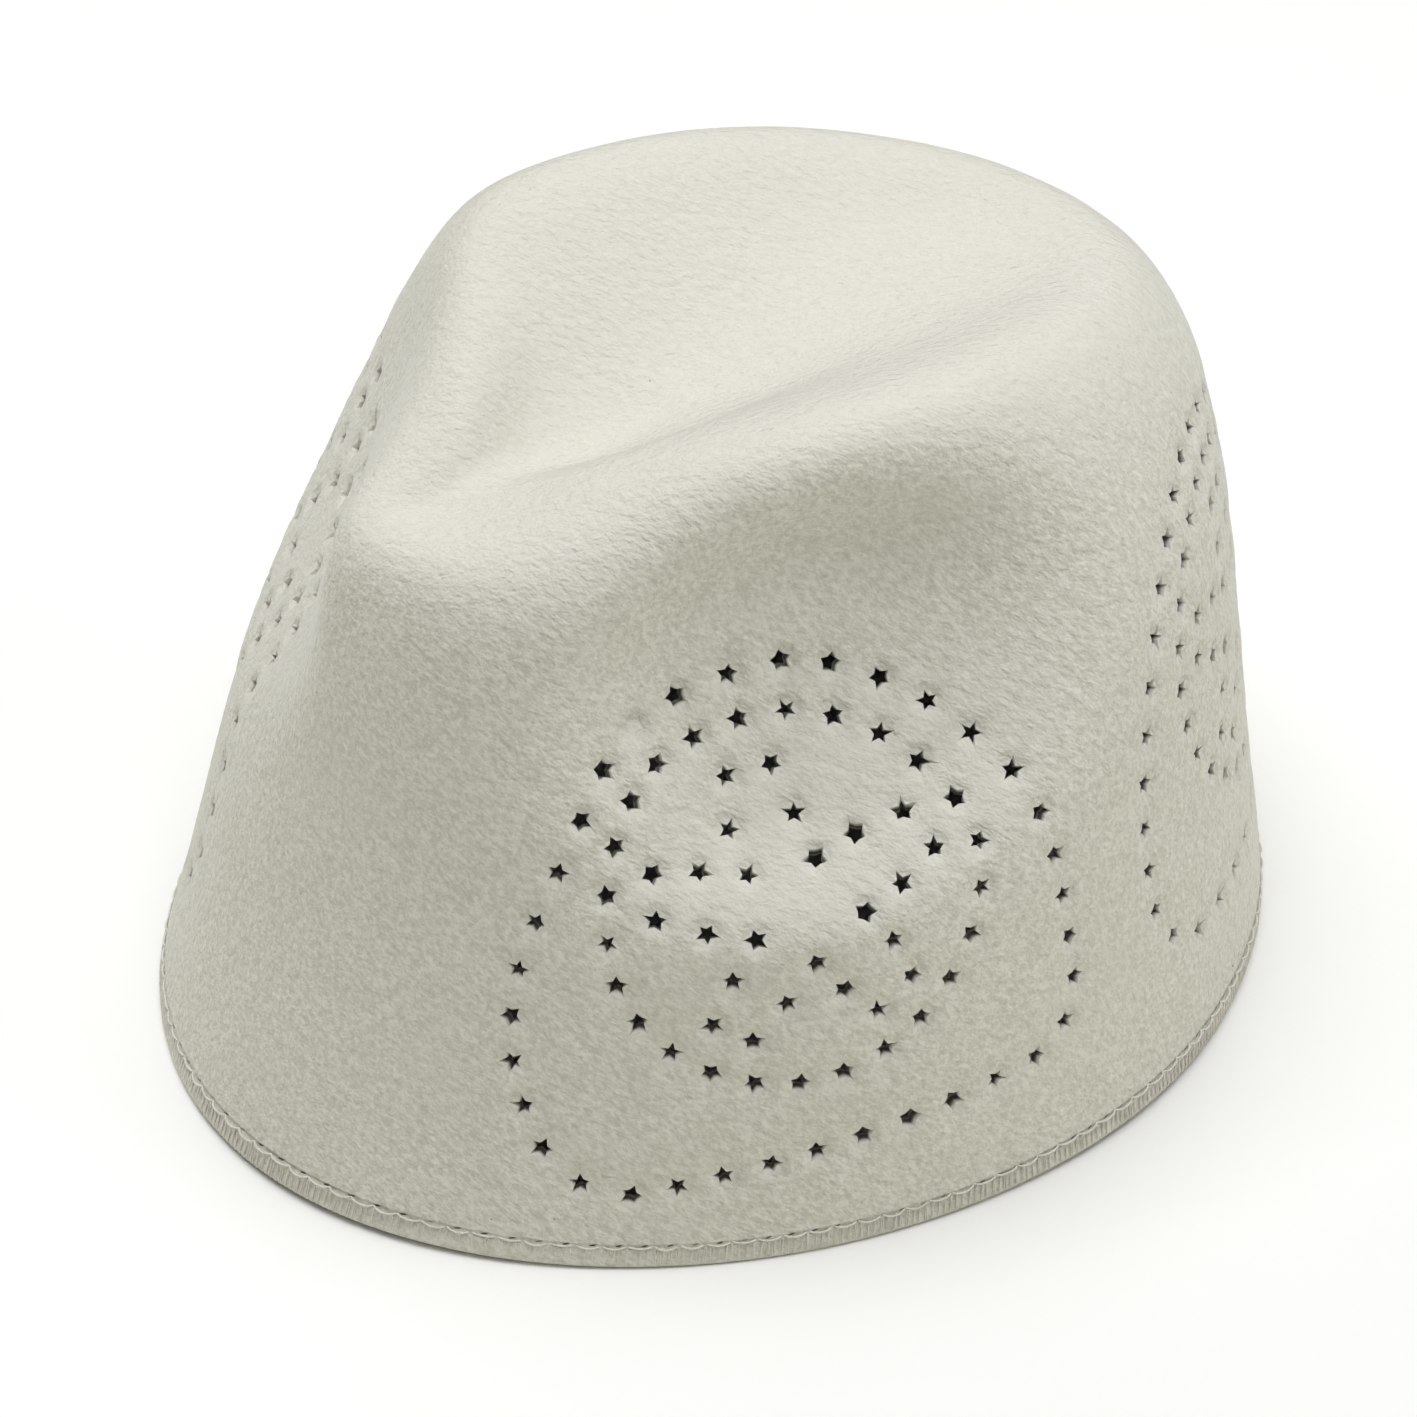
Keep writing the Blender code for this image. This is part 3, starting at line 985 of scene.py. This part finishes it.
@dataclass
class Lint:
    """The few dark specks and the white fibre that lie on the felt."""

    crown: Piece
    specks: tuple[Speck, ...] = (
        Speck((-5.3, -9.1, 109.6), 0.45, 0.16, (0.16, 0.14, 0.11, 1.0)),
        Speck((-41.7, -47.6, 76.8), 0.5, 0.2, (0.10, 0.08, 0.06, 1.0)),
        Speck((55.2, -72.8, 8.3), 0.3, 0.2, (0.12, 0.10, 0.08, 1.0)),
        Speck((48.0, -79.8, 6.9), 0.3, 0.18, (0.14, 0.12, 0.09, 1.0)),
        Speck((71.1, 54.8, 6.7), 0.5, 0.35, (0.20, 0.08, 0.03, 1.0)),
        Speck((-42.0, -6.4, 126.2), 0.9, 0.09, (0.22, 0.20, 0.16, 1.0)),
        Speck((39.2, -37.6, 86.4), 1.0, 0.3, (0.90, 0.89, 0.86, 1.0)),
    )

    def build(self) -> Piece:
        """Builds the specks as one mesh of small flattened balls, each with its own tone."""
        draw = Random(12)
        shape = bmesh.new()
        tones = []
        for speck in self.specks:
            _, place, normal, _ = self.crown.closest_point_on_mesh(Vector(speck.near) * MM)
            turn = normal.to_track_quat("Z", "Y").to_matrix().to_4x4()
            spin = Matrix.Rotation(draw.uniform(0, pi), 4, "Z")
            size = Matrix.Diagonal((speck.length / 2, speck.width / 2, speck.width / 3, 1.0))
            matrix = Matrix.Translation(place) @ turn @ spin @ Matrix.Scale(MM, 4) @ size
            made = bmesh.ops.create_icosphere(shape, subdivisions=2, radius=1.0, matrix=matrix)
            tones += [speck.tone] * len(made["verts"])
        mesh = mesh_from(shape, "lint_specks")
        mesh.shade_smooth()
        layer = mesh.color_attributes.new("tone", "FLOAT_COLOR", "POINT")
        layer.data.foreach_set("color", np.array(tones, np.float32).ravel())
        return linked("lint_specks", mesh)


@dataclass
class NodeBuilder:
    """Places and joins the nodes of one material or node group."""

    tree: Tree

    def node(self, kind: str, **settings: object) -> bpy.types.Node:
        """Adds a node and sets its named properties."""
        made = self.tree.nodes.new(kind)
        for name, value in settings.items():
            setattr(made, name, value)
        return made

    def link(self, start: Socket, end: Socket) -> None:
        """Joins an output to an input."""
        self.tree.links.new(start, end)

    def feed(self, entry: Socket, value: Socket | float | Colour) -> None:
        """Gives an input a value, from another socket or plain."""
        if isinstance(value, Socket):
            self.link(value, entry)
        else:
            entry.default_value = value

    def math(self, operation: str, *values: Socket | float) -> Socket:
        """One step of arithmetic on sockets and plain values, given in order."""
        step = self.node("ShaderNodeMath", operation=operation)
        for value, entry in zip(values, step.inputs):
            self.feed(entry, value)
        return step.outputs[0]

    def ramp(self, value: Socket, low: float, high: float, start: float, end: float) -> Socket:
        """Maps low to start and high to end with a smooth step, and stops beyond both."""
        step = self.node("ShaderNodeMapRange", interpolation_type="SMOOTHSTEP")
        self.link(value, step.inputs["Value"])
        names = ("From Min", "From Max", "To Min", "To Max")
        for name, amount in zip(names, (low, high, start, end)):
            step.inputs[name].default_value = amount
        return step.outputs["Result"]

    def mix(self, factor: Socket, first: Socket | Colour, second: Socket | Colour) -> Socket:
        """Mixes two colours, each a socket or a plain colour."""
        step = self.node("ShaderNodeMix", data_type="RGBA")
        self.link(factor, step.inputs["Factor"])
        for name, colour in (("A", first), ("B", second)):
            entry = next(e for e in step.inputs if e.name == name and e.type == "RGBA")
            self.feed(entry, colour)
        return next(exit for exit in step.outputs if exit.type == "RGBA")

    def grain(self, vector: Socket, scale: float, kind: str = "FBM", **settings: float) -> Socket:
        """A noise texture.

        Args:
            vector: the place to read the noise at.
            scale: how many features lie along one unit of the vector.
            kind: the kind of noise.
            settings: values of the noise's other inputs by name.

        Returns:
            The noise's value.
        """
        texture = self.node("ShaderNodeTexNoise", noise_type=kind)
        texture.inputs["Scale"].default_value = scale
        for name, value in settings.items():
            texture.inputs[name].default_value = value
        self.link(vector, texture.inputs["Vector"])
        return texture.outputs["Fac"]

    def stretched(self, vector: Socket, way: Triple, share: float) -> Socket:
        """Stretches a pattern along one direction, so that it lies like brushed fibres."""
        dot = self.node("ShaderNodeVectorMath", operation="DOT_PRODUCT")
        self.link(vector, dot.inputs[0])
        dot.inputs[1].default_value = way
        back = self.node("ShaderNodeVectorMath", operation="SCALE")
        back.inputs[0].default_value = way
        self.link(self.math("MULTIPLY", dot.outputs["Value"], -share), back.inputs["Scale"])
        total = self.node("ShaderNodeVectorMath", operation="ADD")
        self.link(vector, total.inputs[0])
        self.link(back.outputs[0], total.inputs[1])
        return total.outputs[0]

    def sum(self, *terms: tuple[Socket, float]) -> Socket:
        """The sum of several values, each times its own amount."""
        total = 0.0
        for socket, amount in terms:
            total = self.math("MULTIPLY_ADD", socket, amount, total)
        return total

    def bump(self, height: Socket, strength: float, distance: float) -> Socket:
        """Turns a height into a normal."""
        step = self.node("ShaderNodeBump")
        step.inputs["Strength"].default_value = strength
        step.inputs["Distance"].default_value = distance
        self.link(height, step.inputs["Height"])
        return step.outputs["Normal"]


@dataclass
class EffectGroup:
    """A shader group under way: one vector in and several values out."""

    name: str
    outputs: tuple[str, ...]
    tree: Tree = field(init=False)
    make: NodeBuilder = field(init=False)

    def __post_init__(self) -> None:
        """Creates the group, its sockets and its two end nodes."""
        self.tree = bpy.data.node_groups.new(self.name, "ShaderNodeTree")
        faces = self.tree.interface
        faces.new_socket("Vector", in_out="INPUT", socket_type="NodeSocketVector")
        for name in self.outputs:
            faces.new_socket(name, in_out="OUTPUT", socket_type="NodeSocketFloat")
        self.make = NodeBuilder(self.tree)
        self.vector = self.make.node("NodeGroupInput").outputs["Vector"]
        self.end = self.make.node("NodeGroupOutput")

    def give(self, name: str, value: Socket) -> None:
        """Sends a value out of the group."""
        self.make.link(value, self.end.inputs[name])


def wool_grain_group() -> Tree:
    """The grain of pressed wool: a fibre height, a fine mottle and a broad cloud value."""
    group = EffectGroup("wool_grain", ("Height", "Mottle", "Cloud"))
    make, place = group.make, group.vector
    brushed = make.stretched(place, (0.52, 0.69, -0.50), 0.45)
    fibres = make.grain(brushed, 900.0, "RIDGED_MULTIFRACTAL", Detail=3.0, Distortion=0.5)
    fuzz = make.grain(brushed, 1900.0, Detail=2.0, Distortion=0.3)
    lumps = make.grain(brushed, 600.0, Detail=2.5, Distortion=0.2)
    mottle = make.grain(brushed, 1080.0, Detail=3.0, Roughness=0.8, Distortion=0.3)
    patches = make.grain(place, 130.0, Detail=3.0)
    group.give("Height", make.sum((fibres, 0.12), (fuzz, 0.25), (lumps, 0.6)))
    group.give("Mottle", make.sum((mottle, 0.92), (patches, 0.08)))
    group.give("Cloud", make.grain(place, 24.0, Detail=3.0))
    return group.tree


def punch_lip_group() -> Tree:
    """The felt's height and its frayed lip by a hole, read from the offset from its middle."""
    group = EffectGroup("punch_lip", ("Height", "Fray"))
    make = group.make
    away = make.node("ShaderNodeVectorMath", operation="LENGTH")
    make.link(group.vector, away.inputs[0])
    distance = away.outputs["Value"]
    group.give("Height", make.ramp(distance, 1.2, 3.3, 0.0, 1.0))
    group.give("Fray", make.ramp(distance, 1.5, 2.2, 1.0, 0.0))
    return group.tree


def hole_wall_group() -> Tree:
    """Painted shade in a hole, read from the depth in it and the distance from its middle."""
    group = EffectGroup("hole_wall", ("Dark",))
    make = group.make
    split = make.node("ShaderNodeSeparateXYZ")
    make.link(group.vector, split.inputs[0])
    below = make.ramp(split.outputs["X"], 0.8, 1.7, 0.0, 0.9)
    above = make.ramp(split.outputs["X"], 2.3, 2.6, 1.0, 0.0)
    inside = make.ramp(split.outputs["Y"], 1.9, 2.1, 1.0, 0.0)
    group.give("Dark", make.math("MULTIPLY", make.math("MULTIPLY", below, above), inside))
    return group.tree


def edge_stitch_group() -> Tree:
    """The overlock's marks, read from the stitch number and the height in millimetres.

    Returns:
        A node group with the needle's notches, where shade is painted, and the height of the felt
        round them.
    """
    stitch, seam, lean = 3.9, 4.16, 0.22
    group = EffectGroup("edge_stitch", ("Notch", "Height"))
    make = group.make
    split = make.node("ShaderNodeSeparateXYZ")
    make.link(group.vector, split.inputs[0])
    number, height = split.outputs["X"], split.outputs["Y"]
    nearest = make.math("ROUND", number)
    along = make.math("MULTIPLY", make.math("SUBTRACT", number, nearest), stitch)
    above = make.math("SUBTRACT", height, make.math("MULTIPLY_ADD", along, lean, seam))
    wide = make.math("POWER", make.math("ABSOLUTE", make.math("DIVIDE", along, 0.62)), 2.0)
    tall = make.math("POWER", make.math("ABSOLUTE", make.math("DIVIDE", above, 0.20)), 2.0)
    draw = make.node("ShaderNodeTexWhiteNoise", noise_dimensions="1D")
    make.link(nearest, draw.inputs["W"])
    strength = make.ramp(draw.outputs["Value"], 0.0, 0.7, 0.35, 1.0)
    notch = make.ramp(make.math("ADD", wide, tall), 0.2, 1.1, 1.0, 0.0)
    under = make.math("ABSOLUTE", make.math("SUBTRACT", height, 3.9))
    group.give("Notch", make.math("MULTIPLY", notch, strength))
    group.give("Height", make.ramp(under, 0.1, 0.6, 0.0, 1.0))
    return group.tree


@dataclass(frozen=True)
class Effects:
    """The node groups that the finishes share."""

    grain: Tree
    lip: Tree
    wall: Tree
    stitch: Tree


@dataclass
class FinishBuilder:
    """A new material, its shader, the nodes round it and the wool grain at each place."""

    name: str
    grain: Tree
    material: Material = field(init=False)

    def __post_init__(self) -> None:
        """Makes the material and reads the wool grain at its object's own places."""
        self.material = bpy.data.materials.new(self.name)
        self.material.use_nodes = True
        self.shader = self.material.node_tree.nodes["Principled BSDF"]
        self.make = NodeBuilder(self.material.node_tree)
        places = self.make.node("ShaderNodeTexCoord")
        self.place, self.facing = places.outputs["Object"], places.outputs["Normal"]
        self.wool = self.effect(self.grain, self.place)

    def effect(self, group: Tree, vector: Socket) -> bpy.types.NodeOutputs:
        """Reads a shared effect at a vector and returns its outputs."""
        node = self.make.node("ShaderNodeGroup", node_tree=group)
        self.make.link(vector, node.inputs["Vector"])
        return node.outputs

    def mapped(self, name: str) -> Socket:
        """Reads one of the piece's own maps."""
        return self.make.node("ShaderNodeUVMap", uv_map=name).outputs["UV"]

    def finish(self, colour: Socket, normal: Socket, **values: float) -> Material:
        """Joins the colour and the normal to the shader and sets its plain values."""
        self.make.link(colour, self.shader.inputs["Base Color"])
        self.make.link(normal, self.shader.inputs["Normal"])
        for name, value in values.items():
            self.shader.inputs[name.replace("_", " ")].default_value = value
        return self.material


@dataclass(frozen=True)
class WoolFelt:
    """The finish of the off-white felt."""

    light: Colour = (0.757, 0.745, 0.672, 1.0)
    shade: Colour = (0.715, 0.70, 0.618, 1.0)
    warm: Colour = (0.725, 0.695, 0.606, 1.0)
    # Faces that turn sideways get a stronger mottle: painted shade and highlight between the
    # fibres, where light from above grazes the walls.
    side_painted_highlight: Colour = (0.835, 0.825, 0.742, 1.0)
    side_painted_shade: Colour = (0.635, 0.622, 0.534, 1.0)
    lip: Colour = (0.77, 0.76, 0.715, 1.0)
    # Painted shade in the needle holes along the overlock.
    notch: Colour = (0.10, 0.09, 0.075, 1.0)
    # Painted shade inside the punched holes, on their cut walls.
    hole_wall: Colour = (0.13, 0.12, 0.10, 1.0)
    grain_depth: float = 0.85
    lip_depth: float = 0.45
    seam_depth: float = 0.25
    notch_depth: float = 0.30
    sheen: float = 0.5
    tone_band: Pair = (0.34, 0.66)
    side_band: Pair = (0.3, 0.8)
    cloud_band: Pair = (0.48, 0.75)
    cloud_most: float = 0.32
    fray_share: float = 0.35

    def build(self, effects: Effects, pierced: bool) -> Material:
        """Makes the material.

        Args:
            effects: the shared node groups.
            pierced: whether the piece has the maps of the holes and of the edge.
        """
        finish = FinishBuilder("felt" if pierced else "felt_fibre", effects.grain)
        make, wool = finish.make, finish.wool
        tone = make.ramp(wool["Mottle"], *self.tone_band, 0.0, 1.0)
        facing = make.node("ShaderNodeSeparateXYZ")
        make.link(finish.facing, facing.inputs[0])
        # Painted shade and highlight of the fibres on faces that turn sideways, as under grazing
        # light.
        side = make.ramp(facing.outputs["Z"], *self.side_band, 1.0, 0.0)
        grazing_painted_shade = make.mix(tone, self.side_painted_shade, self.side_painted_highlight)
        colour = make.mix(side, make.mix(tone, self.shade, self.light), grazing_painted_shade)
        cloud = make.ramp(wool["Cloud"], *self.cloud_band, 0.0, self.cloud_most)
        colour = make.mix(cloud, colour, self.warm)
        depths = [(wool["Height"], self.grain_depth)]
        if pierced:
            lip = finish.effect(effects.lip, finish.mapped("hole"))
            stitch = finish.effect(effects.stitch, finish.mapped("edge"))
            fray = make.math("MULTIPLY", lip["Fray"], self.fray_share)
            colour = make.mix(fray, colour, self.lip)
            # Painted shade in the needle notches.
            colour = make.mix(stitch["Notch"], colour, self.notch)
            # Painted shade darkens the cut walls deep in each hole.
            wall = finish.effect(effects.wall, finish.mapped("hole_wall"))
            colour = make.mix(wall["Dark"], colour, self.hole_wall)
            depths.append((lip["Height"], self.lip_depth))
            depths.append((stitch["Height"], self.seam_depth))
            depths.append((stitch["Notch"], -self.notch_depth))
        normal = make.bump(make.sum(*depths), 1.0, MM)
        return finish.finish(
            colour,
            normal,
            Roughness=0.95,
            Specular_IOR_Level=0.15,
            Sheen_Weight=self.sheen,
            Sheen_Roughness=0.3,
        )


@dataclass(frozen=True)
class SpunThread:
    """The finish of the off-white sewing thread."""

    light: Colour = (0.85, 0.835, 0.775, 1.0)
    shade: Colour = (0.69, 0.67, 0.595, 1.0)
    twist: float = 2600.0
    tone_band: Pair = (0.35, 0.65)
    ply_depth: float = 0.0001

    def build(self, effects: Effects) -> Material:
        """Makes the material: plies that wind round the thread and loose fuzz."""
        finish = FinishBuilder("thread", effects.grain)
        make, wool = finish.make, finish.wool
        plies = make.grain(finish.place, self.twist, Detail=1.0, Distortion=1.5)
        mottle = make.sum((plies, 0.6), (wool["Mottle"], 0.4))
        body = make.ramp(mottle, *self.tone_band, 0.0, 1.0)
        colour = make.mix(body, self.shade, self.light)
        height = make.sum((plies, 1.0), (wool["Height"], 0.4))
        normal = make.bump(height, 0.5, self.ply_depth)
        return finish.finish(colour, normal, Roughness=0.7, Sheen_Weight=0.2)


@dataclass(frozen=True)
class LintFinish:
    """The finish of the specks of lint, each in its own tone."""

    depth: float = 0.0001
    dust: Colour = (0.5, 0.47, 0.40, 1.0)

    def build(self, effects: Effects) -> Material:
        """Makes the material, which reads each speck's tone."""
        finish = FinishBuilder("lint", effects.grain)
        make, wool = finish.make, finish.wool
        tone = make.node("ShaderNodeAttribute", attribute_name="tone").outputs["Color"]
        faded = make.math("MULTIPLY", wool["Mottle"], 0.3)
        colour = make.mix(faded, tone, self.dust)
        return finish.finish(colour, make.bump(wool["Height"], 0.6, self.depth), Roughness=0.9)


@dataclass(frozen=True)
class SoftBox:
    """One large soft light: its direction from the cap in degrees, its size and its watts."""

    name: str
    azimuth: float
    elevation: float
    size: float
    power: float


@dataclass
class Studio:
    """The plain pale floor, the soft lights and the camera at the photograph's angle."""

    boxes: tuple[SoftBox, ...] = (
        SoftBox("overhead", 0.0, 90.0, 1.6, 25.8),
        SoftBox("back_left", -76.7, 35.0, 1.2, 4.2),
        SoftBox("right", 133.3, 35.0, 1.2, 2.2),
        SoftBox("right_low", 133.3, 12.0, 1.0, 4.1),
        SoftBox("back", 233.3, 40.0, 1.2, 2.4),
        SoftBox("left_low", -26.7, 12.0, 1.0, 1.0),
        SoftBox("front", 50.0, 42.0, 1.2, 1.4),
    )
    reach: float = 1.6
    world: float = 0.043
    backdrop: float = 1.0
    floor_half: float = 6.0
    floor_gap: float = 0.00005
    floor_white: Colour = (1.0, 1.0, 0.99, 1.0)
    floor_glow: Colour = (0.93, 0.93, 0.835, 1.0)
    azimuth: float = 53.3
    elevation: float = 36.3
    distance: float = 0.827
    target: Triple = (0.0, 0.0, 0.060)
    lens: float = 126.46
    shift: Pair = (-0.0049, -0.0589)

    def aim(self, obj: Piece, azimuth: float, elevation: float, reach: float) -> None:
        """Sets a light or the camera at a reach from the target, and points it there.

        Args:
            obj: the light or the camera.
            azimuth: degrees round the cap, with 0 in front of it and 90 at its left.
            elevation: degrees over the table.
            reach: metres from the target.
        """
        around, up = radians(azimuth), radians(elevation)
        away = Vector((sin(around) * cos(up), -cos(around) * cos(up), sin(up)))
        obj.location = Vector(self.target) + away * reach
        obj.rotation_mode = "QUATERNION"
        obj.rotation_quaternion = away.to_track_quat("Z", "Y")

    def floor(self) -> Piece:
        """A wide pale floor just under the cap."""
        shape = bmesh.new()
        bmesh.ops.create_grid(shape, x_segments=1, y_segments=1, size=self.floor_half)
        bmesh.ops.translate(shape, vec=(0, 0, -self.floor_gap), verts=shape.verts)
        obj = linked("floor", mesh_from(shape, "floor"))
        material = bpy.data.materials.new("floor")
        material.use_nodes = True
        shader = material.node_tree.nodes["Principled BSDF"]
        make = NodeBuilder(material.node_tree)
        seen = make.node("ShaderNodeLightPath").outputs["Is Camera Ray"]
        make.link(make.mix(seen, self.floor_glow, self.floor_white), shader.inputs["Base Color"])
        shader.inputs["Roughness"].default_value = 1.0
        shader.inputs["Specular IOR Level"].default_value = 0.0
        obj.data.materials.append(material)
        return obj

    def lights(self) -> None:
        """The soft lights, and a room that is dim but looks white from the camera."""
        for box in self.boxes:
            light = bpy.data.lights.new(box.name, "AREA")
            light.size = box.size
            light.energy = box.power
            self.aim(linked(box.name, light), box.azimuth, box.elevation, self.reach)
        world = bpy.data.worlds.new("room")
        world.use_nodes = True
        make = NodeBuilder(world.node_tree)
        background = world.node_tree.nodes["Background"]
        background.inputs["Color"].default_value = (1, 1, 1, 1)
        seen = make.node("ShaderNodeLightPath").outputs["Is Camera Ray"]
        strength = make.math("MULTIPLY_ADD", seen, self.backdrop - self.world, self.world)
        make.link(strength, background.inputs["Strength"])
        bpy.context.scene.world = world

    def camera(self) -> None:
        """The camera, aimed as the photograph's was."""
        data = bpy.data.cameras.new("camera")
        data.sensor_width = 36.0
        data.lens = self.lens
        data.shift_x, data.shift_y = self.shift
        obj = linked("camera", data)
        self.aim(obj, self.azimuth, self.elevation, self.distance)
        bpy.context.scene.camera = obj

    def build(self) -> None:
        """Sets up the whole studio."""
        self.floor()
        self.lights()
        self.camera()
        bpy.context.scene.view_settings.view_transform = "Standard"


def main() -> None:
    """Builds and dresses the cap piece by piece, then sets up the studio."""
    logging.basicConfig(level=logging.INFO, format="%(name)s: %(message)s")
    form, settling = CrownForm(), Settling()
    piercing = Piercing(form)
    LOG.info("%d star holes placed", len(piercing.centres))
    effects = Effects(
        wool_grain_group(), punch_lip_group(), hole_wall_group(), edge_stitch_group()
    )
    felt = FeltCrown(form, settling, piercing)
    crown = felt.build()
    felt.dress(crown, WoolFelt().build(effects, pierced=True))
    LOG.info("felt: %d faces", len(crown.data.polygons))
    overlock = EdgeOverlock(form, settling)
    threads = overlock.build()
    spun = SpunThread().build(effects)
    for thread in threads:
        dress(thread, spun)
    LOG.info("threads: %d faces", sum(len(thread.data.polygons) for thread in threads))
    fibres = WoolNap(form, settling, piercing).build()
    dress(fibres, WoolFelt().build(effects, pierced=False))
    LOG.info("nap: %d faces", len(fibres.data.polygons))
    dress(Lint(crown).build(), LintFinish().build(effects))
    Studio().build()


if __name__ == "__main__":
    main()
